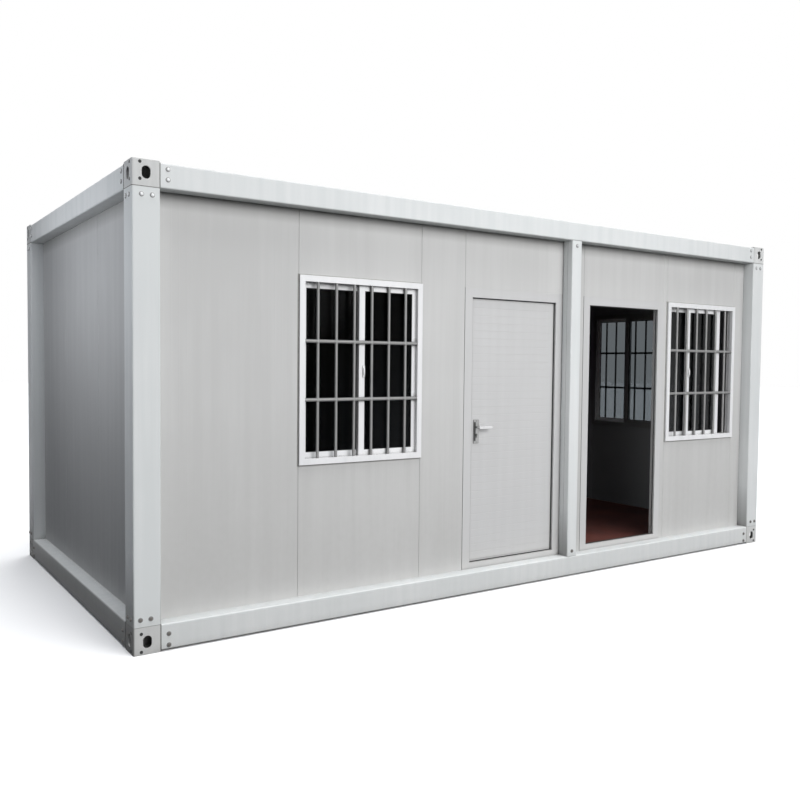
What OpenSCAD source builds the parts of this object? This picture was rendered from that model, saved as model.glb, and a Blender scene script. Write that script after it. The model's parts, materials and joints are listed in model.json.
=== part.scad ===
// Flat pack container house: a bolted frame of cold-formed steel with sandwich panel walls,
// two hinged doors and three sliding windows.
// The origin is at the centre of the footprint, on the ground. +X runs along the front
// from left to right, +Y runs from the front to the back and +Z is up.

/* [Overall] */
// Length along the front, over the corner fittings
house_l = 5950; // [5600:10:6600]
// Depth from front to back, over the corner fittings
house_d = 3000; // [2600:10:3400]
// Height from the ground to the top of the corner fittings
house_h = 2800; // [2700:10:3200]

/* [Steel frame] */
// Side of the square corner posts and corner fittings
post_w = 160; // [120:1:200]
// Thickness of the cold-formed sheet
sheet_t = 4; // [2:0.5:6]
// Outer radius of the folded edges
bend_r = 9; // [7:0.5:14]
// Height of the bottom corner fittings, which is also the floor's level
base_h = 160; // [140:1:200]
// Height of the top corner fittings
head_h = 150; // [130:1:190]
// How far the fittings stand out above and below the beams
fitting_proud = 8; // [2:1:12]
// Wall of the hollow corner fittings
fitting_wall = 10; // [6:1:16]
// Width of the oval hole in a fitting
oval_w = 50; // [30:1:60]
// Height of the oval hole in a fitting
oval_h = 72; // [62:1:84]
// Distance from a fitting's outer end to the centre of its oval holes
oval_rise = 72; // [60:1:80]
// Depth of the top beams' upper flange, seen from above
gutter_flange = 80; // [50:1:110]
// Height of the lip that hangs from the upper flange
gutter_lip = 25; // [15:1:35]

/* [Middle post] */
// Width of the middle post on the front
middle_post_w = 105; // [70:1:140]
// Width of the seam along the middle of its sides
middle_post_seam = 3; // [1:0.5:6]

/* [Walls] */
// Distance from the frame's face back to the wall panels
wall_recess = 100; // [60:1:105]
// Thickness of the wall panels
wall_t = 50; // [40:1:55]
// Cover width of one full wall panel
panel_w = 950; // [600:10:1200]
// Chamfer along a panel's upright edges
panel_chamfer = 3; // [1:0.5:6]
// Gap between neighbouring pieces of the walls
panel_joint = 0.6; // [0.3:0.1:0.9]

/* [Front wall] */
// The posts, windows and door frames leave some length over, and these five widths share it
// Width of the plain panel beside the left post
left_panel_w = 925; // [400:5:1200]
// Width of the strip between the right window and the right post
right_strip_w = 145; // [80:1:300]
// Width of the strip between the right door and the right window
door_strip_w = 50; // [30:1:200]
// Distance from the middle post to the right door's frame
post_strip_w = 135; // [40:1:300]
// Width of the panel between the left window and the left door
left_filler_w = 390; // [100:1:600]

/* [Windows] */
// Width over a window's frame
window_w = 960; // [700:10:1100]
// Height over a window's frame
window_h = 1220; // [800:10:1300]
// Height of the panels over the windows and the doors
header_h = 415; // [200:5:500]
// How far the right window's front sash is slid open
right_window_open = 165; // [0:5:400]
// Width of the frame as seen from outside
window_face = 40; // [30:1:60]
// How far the frame stands out from the wall
window_proud = 18; // [5:1:40]
// Depth of the frame's front lip, which holds the guard bars
window_lip = 26; // [20:1:40]
// Depth of each sash track
track_w = 22; // [18:1:30]
// How far a sash reaches into its track
track_h = 12; // [6:1:18]
// Thickness of the lips between and behind the tracks
track_wall = 5; // [3:0.5:8]
// Width of the upright sash bars
sash_stile = 44; // [30:1:60]
// Height of the level sash bars
sash_rail = 48; // [30:1:70]
// Thickness of the glass
glass_t = 6; // [4:0.5:10]
// How far the glass reaches into the sash
glass_seat = 10; // [5:1:15]
// Clearance of the sashes and the glass
window_fit = 0.3; // [0.2:0.05:0.6]

/* [Doors] */
// Clear width between the door stops
door_clear_w = 840; // [700:5:880]
// Width of the frame beside and over the opening
door_face = 70; // [50:1:90]
// How far the door frame stands out from the wall
door_proud = 2; // [0:1:30]
// Height of the threshold above the floor
threshold_h = 45; // [25:1:70]
// Depth of the door stop
stop_d = 16; // [10:1:45]
// How far the stop reaches in front of the rebate
stop_lap = 15; // [12:1:25]
// Thickness of the door leaf
leaf_t = 40; // [30:1:50]
// Gap around the leaf in its rebate
leaf_gap = 6; // [5:0.5:8]
// How far the right door stands open in degrees
right_door_open = 90; // [0:1:95]

/* [Hinges and handles] */
// Number of hinges on a door
hinge_count = 3; // [2:1:4]
// Length of a hinge
hinge_l = 110; // [80:1:160]
// Radius of the hinge knuckles
knuckle_r = 8; // [7:0.5:10]
// Radius of the hinge pin
pin_r = 4; // [3:0.5:5]
// Clearance between the pin and the leaf's knuckle
pin_fit = 0.1; // [0.05:0.05:0.3]
// Width of a hinge plate
hinge_plate_w = 34; // [25:1:42]
// Thickness of a hinge plate
hinge_plate_t = 3; // [2:0.5:4]
// Gap from a hinge plate to the other leaf's knuckles
hinge_plate_gap = 1.5; // [1:0.1:2]
// Gap between the knuckles of a hinge
knuckle_gap = 1; // [0.5:0.1:2]
// Width of the handle plate
handle_plate_w = 50; // [36:1:60]
// Height of the handle plate
handle_plate_h = 178; // [140:1:240]
// Thickness of the handle plate
handle_plate_t = 8; // [4:1:12]
// Distance from the opening's edge to the handle's spindle
lever_inset = 61; // [50:1:90]
// Height of the lever above the ground
lever_z = 1210; // [1000:5:1300]
// Height of the lever above the middle of its plate
lever_rise = 32; // [0:1:45]
// Length of the lever from the spindle to its tip
lever_l = 116; // [100:1:180]
// Height of the lever's grip
lever_h = 20; // [14:1:26]
// Thickness of the lever's grip
lever_t = 11; // [8:1:16]
// Distance from the plate to the lever's grip
lever_reach = 38; // [30:1:60]
// Radius of the lever's neck
neck_r = 9; // [7:0.5:12]
// Radius of the spindle
spindle_r = 6; // [4:0.5:8]
// Clearance around the spindle and the neck
spindle_fit = 1; // [0.5:0.1:2]

/* [Floor, ceiling and roof] */
// Thickness of the floor deck
deck_t = 20; // [15:1:30]
// Largest distance between floor joists
joist_pitch = 600; // [400:10:900]
// Width of a joist's flanges
joist_w = 50; // [40:1:80]
// Thickness of the joists' and purlins' sheet
joist_t = 3; // [2:0.5:4]
// Thickness of the ceiling board
ceiling_t = 12; // [8:1:25]
// Height of the roof purlins
purlin_h = 92; // [70:1:100]
// Number of roof purlins
purlin_count = 4; // [3:1:6]
// Thickness of the roof sheet
roof_t = 2; // [1:0.5:3]
// Distance between the roof sheet's ribs
rib_pitch = 250; // [150:10:400]
// Height of the roof sheet's ribs
rib_h = 28; // [15:1:30]
// Width of a rib's crest
rib_crest = 40; // [20:1:60]
// Width of a rib's slope
rib_slope = 22; // [10:1:40]
// Gap from the roof sheet to the lip of the top beams
roof_gap = 10; // [5:1:20]
// Gap from the edges of the deck and the ceiling to the beams
edge_gap = 0.5; // [0.3:0.1:2]

/* [Hidden] */
$fn = 48;
cut = 1;
// Levels
floor_z = base_h;
head_z = house_h - head_h;
beam_low_z = fitting_proud;
beam_high_z = house_h - fitting_proud;
lintel_z = head_z - header_h;
window_z = lintel_z - window_h;
door_clear_z = lintel_z - door_face;
// Places along the front, measured from the left end
door_frame_w = door_clear_w + 2 * door_face;
front_spare = house_l - 2 * post_w - 2 * window_w - 2 * door_frame_w - middle_post_w;
share = front_spare / (left_panel_w + left_filler_w + post_strip_w + door_strip_w + right_strip_w);
left_window_x = post_w + share * left_panel_w;
left_door_x = left_window_x + window_w + share * left_filler_w;
middle_post_x = left_door_x + door_frame_w;
right_door_x = middle_post_x + middle_post_w + share * post_strip_w;
right_window_x = right_door_x + door_frame_w + share * door_strip_w;
front_end_x = house_l - post_w;
end_window_x = (house_d - window_w) / 2;
// Window depths, measured inwards from the frame's face
window_y = wall_recess - window_proud;
front_track_y = window_y + window_lip;
rear_track_y = front_track_y + track_w + track_wall;
window_back_y = rear_track_y + track_w + track_wall;
window_clear_w = window_w - 2 * window_face;
window_clear_h = window_h - 2 * window_face;
track_clear_w = window_clear_w + 2 * track_h;
track_clear_h = window_clear_h + 2 * track_h;
sash_w = (track_clear_w + sash_stile) / 2 - window_fit;
sash_h = track_clear_h - 2 * window_fit;
sash_t = track_w - 2 * window_fit;
// Door depths and heights
door_y = wall_recess - door_proud;
leaf_y = door_y + stop_d + leaf_gap;
leaf_back_y = leaf_y + leaf_t;
threshold_z = floor_z + threshold_h;
door_top_z = lintel_z - panel_joint;
leaf_x = door_face - stop_lap + leaf_gap;
leaf_w = door_clear_w + 2 * (stop_lap - leaf_gap);
leaf_z = threshold_z - stop_lap + leaf_gap;
leaf_h = door_clear_z + stop_lap - leaf_gap - leaf_z;
pivot_x = leaf_x + leaf_w + leaf_gap / 2;
pivot_y = leaf_back_y + knuckle_r;
spindle_x = door_face + lever_inset;
// Floor and roof
joist_low_z = beam_low_z + sheet_t;
joist_h = floor_z - deck_t - joist_low_z;
roof_z = head_z + sheet_t + purlin_h;
roof_edge = gutter_flange + roof_gap;

// The four sides, seen from outside: x runs from the left corner, y runs inwards, z is up
SIDES = ["front", "right", "back", "left"];
function side_l(side) = side == "front" || side == "back" ? house_l : house_d;
module on_side(side) {
    turns = search([side], SIDES)[0];
    corner = [[-1, -1], [1, -1], [1, 1], [-1, 1]][turns];
    translate([corner[0] * house_l / 2, corner[1] * house_d / 2, 0]) rotate(90 * turns) children();
}

// Plan shapes
module rounded_rect(w, h, r) {
    translate([r, 0]) square([w - 2 * r, h]);
    translate([0, r]) square([w, h - 2 * r]);
    for (x = [r, w - r], y = [r, h - r]) translate([x, y]) circle(r);
}
// A bar whose two edges at x = 0 are folded round
module folded_bar(w, h, r) {
    translate([r, 0]) square([w - r, h]);
    translate([0, r]) square([r, h - 2 * r]);
    for (y = [r, h - r]) translate([r, y]) circle(r);
}
// A folded channel with its web at x = 0
module channel(w, h, t, r) {
    difference() {
        folded_bar(w, h, r);
        translate([t, t]) folded_bar(w, h - 2 * t, r - t);
    }
}
module oval(w, h) {
    square([w, h - w], center = true);
    for (s = [-1, 1]) translate([0, s * (h - w) / 2]) circle(w / 2);
}
// Extrudes a y, z outline along x
module along_x(l) {
    rotate([90, 0, 90]) linear_extrude(l) children();
}
// Extrudes an x, z outline along y
module along_y(l) {
    translate([0, l, 0]) rotate([90, 0, 0]) linear_extrude(l) children();
}

// Steel frame
module bottom_beam(side) {
    color("gainsboro") on_side(side) translate([post_w, 0, beam_low_z])
        along_x(side_l(side) - 2 * post_w) channel(post_w, floor_z - beam_low_z, sheet_t, bend_r);
}
module top_beam(side) {
    beam_h = beam_high_z - head_z;
    color("gainsboro") on_side(side) translate([post_w, 0, head_z])
        along_x(side_l(side) - 2 * post_w) {
            difference() {
                channel(post_w, beam_h, sheet_t, bend_r);
                translate([gutter_flange, 2 * sheet_t]) square([post_w, beam_h]);
            }
            translate([gutter_flange - sheet_t, beam_h - gutter_lip]) square([sheet_t, gutter_lip]);
        }
}
module corner_posts() {
    color("gainsboro") for (side = SIDES) on_side(side) translate([0, 0, floor_z])
        linear_extrude(head_z - floor_z) difference() {
            rounded_rect(post_w, post_w, bend_r);
            translate([sheet_t, sheet_t])
                rounded_rect(post_w - 2 * sheet_t, post_w - 2 * sheet_t, bend_r - sheet_t);
        }
}
// A hollow box with an oval hole in each of its two outer faces
module corner_fitting(h, hole_z) {
    inner = post_w - 2 * fitting_wall;
    difference() {
        linear_extrude(h) rounded_rect(post_w, post_w, bend_r);
        translate([fitting_wall, fitting_wall, fitting_wall]) cube([inner, inner, h - 2 * fitting_wall]);
        translate([post_w / 2, -cut, hole_z]) along_y(fitting_wall + 2 * cut) oval(oval_w, oval_h);
        translate([-cut, post_w / 2, hole_z]) along_x(fitting_wall + 2 * cut) oval(oval_w, oval_h);
    }
}
module bottom_corner_fittings() {
    color("whitesmoke") for (side = SIDES) on_side(side) corner_fitting(base_h, oval_rise);
}
module top_corner_fittings() {
    color("whitesmoke") for (side = SIDES) on_side(side) translate([0, 0, head_z])
        corner_fitting(head_h, head_h - oval_rise);
}
module middle_post() {
    color("gainsboro") on_side("front") translate([middle_post_x, 0, floor_z])
        linear_extrude(head_z - floor_z) difference() {
            rounded_rect(middle_post_w, wall_recess, bend_r);
            translate([sheet_t, sheet_t])
                rounded_rect(middle_post_w - 2 * sheet_t, wall_recess - 2 * sheet_t, bend_r - sheet_t);
            for (x = [0, middle_post_w]) translate([x, wall_recess / 2])
                square([sheet_t, middle_post_seam], center = true);
        }
}

// Floor, ceiling and roof
module floor_joists() {
    run = house_l - 2 * post_w - joist_w;
    count = ceil(run / joist_pitch);
    length = house_d - 2 * (bend_r + edge_gap);
    color("silver") for (i = [1:count - 1])
        translate([-house_l / 2 + post_w + i * run / count, -length / 2, joist_low_z])
            along_y(length) channel(joist_w, joist_h, joist_t, 2 * joist_t);
}
module floor_deck() {
    size = [house_l - 2 * (post_w + edge_gap), house_d - 2 * (post_w + edge_gap)];
    color("saddlebrown") translate([-size[0] / 2, -size[1] / 2, floor_z - deck_t])
        cube([size[0], size[1], deck_t]);
}
module ceiling() {
    size = [house_l - 2 * (post_w + edge_gap), house_d - 2 * (post_w + edge_gap)];
    color("white") translate([-size[0] / 2, -size[1] / 2, head_z + sheet_t - ceiling_t])
        cube([size[0], size[1], ceiling_t]);
}
module roof_purlins() {
    length = house_l - 2 * (bend_r + edge_gap);
    run = house_d - 2 * post_w;
    color("silver") for (i = [0:purlin_count - 1])
        translate([-length / 2, -run / 2 + (i + 0.5) * run / purlin_count - joist_w / 2, head_z + sheet_t])
            along_x(length) channel(joist_w, purlin_h, joist_t, 2 * joist_t);
}
module roof_sheet() {
    length = house_l - 2 * roof_edge;
    width = house_d - 2 * roof_edge;
    count = floor(length / rib_pitch);
    half_foot = rib_crest / 2 + rib_slope;
    half_crest = rib_crest / 2;
    ribs = [for (i = [0:count - 1]) each
        let (x = (i + 0.5 - count / 2) * rib_pitch)
        [[x - half_foot, 0], [x - half_crest, rib_h], [x + half_crest, rib_h], [x + half_foot, 0]]];
    line = concat([[-length / 2, 0]], ribs, [[length / 2, 0]]);
    upper = [for (p = line) p + [0, roof_t]];
    lower = [for (i = [len(line) - 1:-1:0]) line[i]];
    // The corners are cut back to clear the corner fittings
    notch = 2 * (post_w + edge_gap);
    color("gainsboro") difference() {
        translate([0, -width / 2, roof_z]) along_y(width) polygon(concat(upper, lower));
        for (x = [-1, 1], y = [-1, 1]) translate([x * house_l / 2, y * house_d / 2, roof_z])
            cube([notch, notch, 4 * rib_h], center = true);
    }
}

// Wall panels: one slab from x0 to x1 and z0 to z1 of a side, with chamfered upright edges
module panel(x0, x1, z0, z1) {
    w = x1 - x0 - panel_joint;
    c = min(panel_chamfer, w / 4);
    t = wall_t;
    translate([x0 + panel_joint / 2, wall_recess, z0]) linear_extrude(z1 - z0) polygon([
        [c, 0], [w - c, 0], [w, c], [w, t - c], [w - c, t], [c, t], [0, t - c], [0, c]]);
}
module window_infills(x) {
    panel(x, x + window_w, floor_z, window_z);
    panel(x, x + window_w, lintel_z, head_z);
}
// Full panels from one corner, with the narrower one at the far corner
module plain_wall(side) {
    run = side_l(side) - 2 * post_w;
    count = ceil(run / panel_w);
    on_side(side) for (k = [0:count - 1])
        panel(post_w + max(0, run - (k + 1) * panel_w), post_w + run - k * panel_w, floor_z, head_z);
}
module front_wall_panel() {
    color("lightgray") on_side("front") panel(post_w, left_window_x, floor_z, head_z);
}
module front_wall_strips() {
    color("lightgray") on_side("front") {
        panel(left_window_x + window_w, left_door_x, floor_z, head_z);
        panel(middle_post_x, right_door_x, floor_z, head_z);
        panel(right_door_x + door_frame_w, right_window_x, floor_z, head_z);
        panel(right_window_x + window_w, front_end_x, floor_z, head_z);
    }
}
module front_window_infills() {
    color("lightgray") on_side("front") {
        window_infills(left_window_x);
        window_infills(right_window_x);
    }
}
module door_header_panels() {
    color("lightgray") on_side("front") for (x = [left_door_x, right_door_x])
        panel(x, x + door_frame_w, lintel_z, head_z);
}
module right_wall() {
    color("lightgray") on_side("right") {
        panel(post_w, end_window_x, floor_z, head_z);
        panel(end_window_x + window_w, house_d - post_w, floor_z, head_z);
        window_infills(end_window_x);
    }
}
module back_wall() {
    color("lightgray") plain_wall("back");
}
module left_wall() {
    color("lightgray") plain_wall("left");
}

// Sliding windows, each placed from its frame's lower left corner
module window_place(side, x) {
    on_side(side) translate([x, 0, window_z]) children();
}
module window_frame() {
    fit = panel_joint / 2;
    color("white") difference() {
        translate([fit, window_y, 0]) cube([window_w - 2 * fit, window_back_y - window_y, window_h]);
        translate([window_face, window_y - cut, window_face])
            cube([window_clear_w, window_back_y - window_y + 2 * cut, window_clear_h]);
        for (y = [front_track_y, rear_track_y])
            translate([window_face - track_h, y, window_face - track_h])
                cube([track_clear_w, track_w, track_clear_h]);
    }
}
// The right sash runs in the front track, where it can be slid open, and the left one in the rear track
module sash_place(k, slid) {
    x = window_face - track_h + window_fit + k * (track_clear_w - 2 * window_fit - sash_w - slid);
    y = (k == 1 ? front_track_y : rear_track_y) + window_fit;
    translate([x, y, window_face - track_h + window_fit]) children();
}
module sash() {
    opening = [sash_w - 2 * sash_stile, sash_h - 2 * sash_rail];
    groove = glass_t + 2 * window_fit;
    difference() {
        cube([sash_w, sash_t, sash_h]);
        translate([sash_stile, -cut, sash_rail]) cube([opening[0], sash_t + 2 * cut, opening[1]]);
        translate([sash_stile - glass_seat, (sash_t - groove) / 2, sash_rail - glass_seat])
            cube([opening[0] + 2 * glass_seat, groove, opening[1] + 2 * glass_seat]);
    }
}
module window_sashes(slid = 0) {
    color("white") for (k = [0, 1]) sash_place(k, slid) sash();
}
module window_glass(slid = 0) {
    seat = glass_seat - window_fit;
    color("darkslategray") for (k = [0, 1]) sash_place(k, slid)
        translate([sash_stile - seat, (sash_t - glass_t) / 2, sash_rail - seat])
            cube([sash_w - 2 * (sash_stile - seat), glass_t, sash_h - 2 * (sash_rail - seat)]);
}

// Doors, drawn with the hinges on the right and placed from the frame's left edge
module left_door_place() {
    on_side("front") translate([left_door_x, 0, 0]) children();
}
module right_door_place() {
    on_side("front") translate([right_door_x + door_frame_w, 0, 0]) mirror([1, 0, 0]) children();
}
// Swings the leaf inwards about its hinge pins
module swing(angle) {
    translate([pivot_x, pivot_y, 0]) rotate(-angle) translate([-pivot_x, -pivot_y, 0]) children();
}
module door_frame() {
    fit = panel_joint / 2;
    depth = leaf_back_y - door_y;
    rebate_y = door_y + stop_d;
    color("white") difference() {
        translate([fit, door_y, floor_z]) cube([door_frame_w - 2 * fit, depth, door_top_z - floor_z]);
        translate([door_face, door_y - cut, threshold_z])
            cube([door_clear_w, depth + 2 * cut, door_clear_z - threshold_z]);
        translate([door_face - stop_lap, rebate_y, threshold_z - stop_lap])
            cube([door_clear_w + 2 * stop_lap, depth, door_clear_z - threshold_z + 2 * stop_lap]);
    }
}
module door_leaf() {
    color("whitesmoke") difference() {
        translate([leaf_x, leaf_y, leaf_z]) cube([leaf_w, leaf_t, leaf_h]);
        translate([spindle_x, leaf_y - cut, lever_z]) along_y(leaf_t + 2 * cut)
            circle(spindle_r + spindle_fit);
    }
}
function hinge_z(k) = leaf_z + leaf_h * (k + 0.5) / hinge_count - hinge_l / 2;
// Three knuckles share a hinge: the frame holds the outer two and the pin, the leaf the middle one
knuckle_l = (hinge_l - 2 * knuckle_gap) / 3;
plate_x = knuckle_r + hinge_plate_gap;
module hinge_pins() {
    color("silver") for (k = [0:hinge_count - 1]) translate([pivot_x, pivot_y, hinge_z(k)]) {
        cylinder(r = pin_r, h = hinge_l);
        translate([plate_x, -knuckle_r, 0]) cube([hinge_plate_w, hinge_plate_t, hinge_l]);
        for (z = [0, hinge_l - knuckle_l]) translate([0, 0, z]) {
            cylinder(r = knuckle_r, h = knuckle_l);
            translate([0, -knuckle_r, 0]) cube([plate_x, hinge_plate_t, knuckle_l]);
        }
    }
}
module hinge_leaves() {
    color("silver") for (k = [0:hinge_count - 1]) translate([pivot_x, pivot_y, hinge_z(k)])
        difference() {
            union() {
                translate([-plate_x - hinge_plate_w, -knuckle_r, 0])
                    cube([hinge_plate_w, hinge_plate_t, hinge_l]);
                translate([0, 0, knuckle_l + knuckle_gap]) {
                    cylinder(r = knuckle_r, h = knuckle_l);
                    translate([-plate_x, -knuckle_r, 0]) cube([plate_x, hinge_plate_t, knuckle_l]);
                }
            }
            translate([0, 0, -cut]) cylinder(r = pin_r + pin_fit, h = hinge_l + 2 * cut);
        }
}
module handle_plates() {
    low_z = lever_z - lever_rise - handle_plate_h / 2;
    color("dimgray") for (y = [leaf_y - handle_plate_t, leaf_back_y]) difference() {
        translate([spindle_x - handle_plate_w / 2, y, low_z])
            along_y(handle_plate_t) rounded_rect(handle_plate_w, handle_plate_h, handle_plate_t);
        translate([spindle_x, y - cut, lever_z]) along_y(handle_plate_t + 2 * cut)
            circle(spindle_r + spindle_fit);
    }
}
// Both grips and the spindle through the leaf turn as one piece
module lever() {
    reach = handle_plate_t + lever_reach;
    neck = lever_reach - spindle_fit;
    color("silver") translate([spindle_x, 0, lever_z]) {
        translate([0, leaf_y - reach, 0]) along_y(leaf_t + 2 * reach) circle(spindle_r);
        for (y = [leaf_y - reach, leaf_back_y + reach - neck]) translate([0, y, 0])
            along_y(neck) circle(neck_r);
        for (y = [leaf_y - reach - lever_t, leaf_back_y + reach]) translate([0, y, 0])
            along_y(lever_t) {
                translate([0, -lever_h / 2]) square([lever_l - lever_h / 2, lever_h]);
                for (x = [0, lever_l - lever_h / 2]) translate([x, 0]) circle(lever_h / 2);
            }
    }
}

bottom_beam("front");  // bottom_beam_front
bottom_beam("right");  // bottom_beam_right
bottom_beam("back");  // bottom_beam_back
bottom_beam("left");  // bottom_beam_left
top_beam("front");  // top_beam_front
top_beam("right");  // top_beam_right
top_beam("back");  // top_beam_back
top_beam("left");  // top_beam_left
corner_posts();
bottom_corner_fittings();
top_corner_fittings();
middle_post();
floor_joists();
floor_deck();
roof_purlins();
roof_sheet();
ceiling();
front_wall_panel();
front_wall_strips();
front_window_infills();
door_header_panels();
right_wall();
back_wall();
left_wall();
window_place("front", left_window_x) window_frame();  // left_window_frame
window_place("front", left_window_x) window_sashes();  // left_window_sashes
window_place("front", left_window_x) window_glass();  // left_window_glass
window_place("front", right_window_x) window_frame();  // right_window_frame
window_place("front", right_window_x)  // right_window_sashes
        window_sashes(right_window_open);
window_place("front", right_window_x)  // right_window_glass
        window_glass(right_window_open);
window_place("right", end_window_x) window_frame();  // end_window_frame
window_place("right", end_window_x) window_sashes();  // end_window_sashes
window_place("right", end_window_x) window_glass();  // end_window_glass
left_door_place() door_frame();  // left_door_frame
left_door_place() door_leaf();  // left_door_leaf
left_door_place() hinge_pins();  // left_door_hinge_pins
left_door_place() hinge_leaves();  // left_door_hinge_leaves
left_door_place() handle_plates();  // left_door_handle_plates
left_door_place() lever();  // left_door_lever
right_door_place() door_frame();  // right_door_frame
right_door_place() swing(right_door_open) door_leaf();  // right_door_leaf
right_door_place() hinge_pins();  // right_door_hinge_pins
right_door_place() swing(right_door_open) hinge_leaves();  // right_door_hinge_leaves
right_door_place() swing(right_door_open) handle_plates();  // right_door_handle_plates
right_door_place() swing(right_door_open) lever();  // right_door_lever
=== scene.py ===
# %% [markdown]
# # A flat pack container house
# The house is a bolted steel frame with panels, doors and windows set into it. Its solids come
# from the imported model, in metres, with the origin at the middle of the footprint on the ground.
# They could be drawn again here, but then they would drift away from the real sizes. So this
# lesson loads them as they are, and adds only finishes, small pieces, light and a camera.

# %% Load the house
import json
import math

import bmesh
import bpy
from mathutils import Matrix, Vector


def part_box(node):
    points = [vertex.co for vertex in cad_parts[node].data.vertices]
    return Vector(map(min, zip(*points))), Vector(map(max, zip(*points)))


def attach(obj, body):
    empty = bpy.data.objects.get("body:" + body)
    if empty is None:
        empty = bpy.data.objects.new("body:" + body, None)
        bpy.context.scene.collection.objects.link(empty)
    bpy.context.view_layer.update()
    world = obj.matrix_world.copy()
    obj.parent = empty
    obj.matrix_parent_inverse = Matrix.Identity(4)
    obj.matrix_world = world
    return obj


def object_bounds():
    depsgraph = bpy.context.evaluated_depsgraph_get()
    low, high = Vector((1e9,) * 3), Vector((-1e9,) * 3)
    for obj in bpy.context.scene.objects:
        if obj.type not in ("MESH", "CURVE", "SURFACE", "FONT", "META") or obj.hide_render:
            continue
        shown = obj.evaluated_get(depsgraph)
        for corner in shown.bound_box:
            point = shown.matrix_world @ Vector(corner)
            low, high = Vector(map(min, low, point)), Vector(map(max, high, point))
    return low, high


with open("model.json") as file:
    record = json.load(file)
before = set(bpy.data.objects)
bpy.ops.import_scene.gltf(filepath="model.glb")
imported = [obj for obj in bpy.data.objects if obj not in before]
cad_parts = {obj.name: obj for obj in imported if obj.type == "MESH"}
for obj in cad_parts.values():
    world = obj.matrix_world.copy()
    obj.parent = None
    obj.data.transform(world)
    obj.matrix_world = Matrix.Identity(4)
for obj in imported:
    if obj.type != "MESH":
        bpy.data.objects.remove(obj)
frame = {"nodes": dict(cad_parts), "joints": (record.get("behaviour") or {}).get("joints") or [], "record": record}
cad_low, cad_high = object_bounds()
nodes = frame["nodes"]
house_size = cad_high - cad_low
print(len(nodes), "pieces, size", [round(v, 3) for v in house_size])

# %% [markdown]
# The camera stands where the photographer stood: at eye height, in front of the left corner, so
# that the front and the left end both show. It could be placed by eye. Here its place, turn and
# focal length were worked out from the corners of the frame, so render and photo line up.

# %% Camera
PHOTO_SIDE = 800
FOCAL_LENGTH = 843.2
SENSOR = 36.0
EYE = Vector((-4.373, -6.237, 1.674))
TURN = math.radians(-34.06)
TILT = math.radians(90 - 2.46)
ROLL = math.radians(0.57)

camera = bpy.data.objects.new("camera", bpy.data.cameras.new("camera"))
bpy.context.scene.collection.objects.link(camera)
camera.data.sensor_width = SENSOR
camera.data.lens = SENSOR * FOCAL_LENGTH / PHOTO_SIDE
aim = Matrix.Rotation(TURN, 4, "Z") @ Matrix.Rotation(TILT, 4, "X") @ Matrix.Rotation(ROLL, 4, "Z")
camera.matrix_world = Matrix.Translation(EYE) @ aim
bpy.context.scene.camera = camera
bpy.context.scene.view_settings.view_transform = "Standard"
print("lens", round(camera.data.lens, 2), "mm")

# %% [markdown]
# Every colour in this lesson is written as the hex value that a screen shows. Shaders work with
# linear light, so one function turns one into the other. A second function adds a node, sets its
# own properties and fills its inputs, with a colour, a number or a link. Short functions then stand
# for the nodes that nearly every finish needs: a colour mix, a sum, a ramp, noise and relief. That
# keeps each finish short enough to read from top to bottom.

# %% Colours and nodes
# Inputs and output of a colour mix, by number, because a mix node has several of each name
MIX_A, MIX_B, MIX_COLOUR = 6, 7, 2


def linear(code):
    """An sRGB hex colour as linear light, with full opacity."""
    shown = [int(code[i:i + 2], 16) / 255 for i in (1, 3, 5)]
    return [c / 12.92 if c <= 0.04045 else ((c + 0.055) / 1.055) ** 2.4 for c in shown] + [1.0]


def fill(tree, node, inputs):
    """Fills inputs of a node. Each takes a hex colour, a plain value or the socket that is linked to it."""
    for name, value in inputs.items():
        if isinstance(value, bpy.types.NodeSocket):
            tree.links.new(value, node.inputs[name])
        else:
            node.inputs[name].default_value = linear(value) if isinstance(value, str) else value


def add(tree, kind, inputs, **settings):
    """Adds a shader node of a kind, with its settings and its inputs."""
    node = tree.nodes.new("ShaderNode" + kind)
    for name, value in settings.items():
        setattr(node, name, value)
    fill(tree, node, inputs)
    return node


def mix(tree, factor, start, end):
    """A colour between two colours."""
    blend = add(tree, "Mix", {"Factor": factor, MIX_A: start, MIX_B: end}, data_type="RGBA")
    return blend.outputs[MIX_COLOUR]


def calc(tree, operation, *values):
    """The result of a sum with one or two values."""
    return add(tree, "Math", dict(enumerate(values)), operation=operation).outputs[0]


def ramp(tree, value, low, high, start=0.0, end=1.0, **settings):
    """A value that goes from start to end while another goes from low to high."""
    span = {"Value": value, "From Min": low, "From Max": high, "To Min": start, "To Max": end}
    return add(tree, "MapRange", span, **settings).outputs[0]


def noise(tree, place, scale, detail=2.0):
    """Cloudy noise between zero and one."""
    return add(tree, "TexNoise", {"Vector": place, "Scale": scale, "Detail": detail}).outputs[0]


def axes(tree, vector):
    """The x, y and z of a vector."""
    return add(tree, "SeparateXYZ", {0: vector}).outputs


def bump(tree, height, depth, normal=None):
    """The normal of a skin with relief of a given depth, on a flat face or on another normal."""
    relief = {"Height": height, "Distance": depth}
    if normal:
        relief["Normal"] = normal
    return add(tree, "Bump", relief).outputs[0]


print("white is", linear("#FFFFFF"))

# %% [markdown]
# The light is that of a bright, hazy day: it comes from the open yard in front, low and very
# broad, so the beam overhead throws a short, soft shadow on the wall. Hardly any of it reaches the
# left end, which is lit at the height of the roof and gets darker towards the ground. Three
# softboxes do that: a wide one before the front, a small one beside the left end, and one with a
# narrow beam that comes along the front and lights the left faces of the posts. Sun lamps with wide
# discs light a wall evenly, so they fill in the front and reach the floor and the back.

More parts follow.
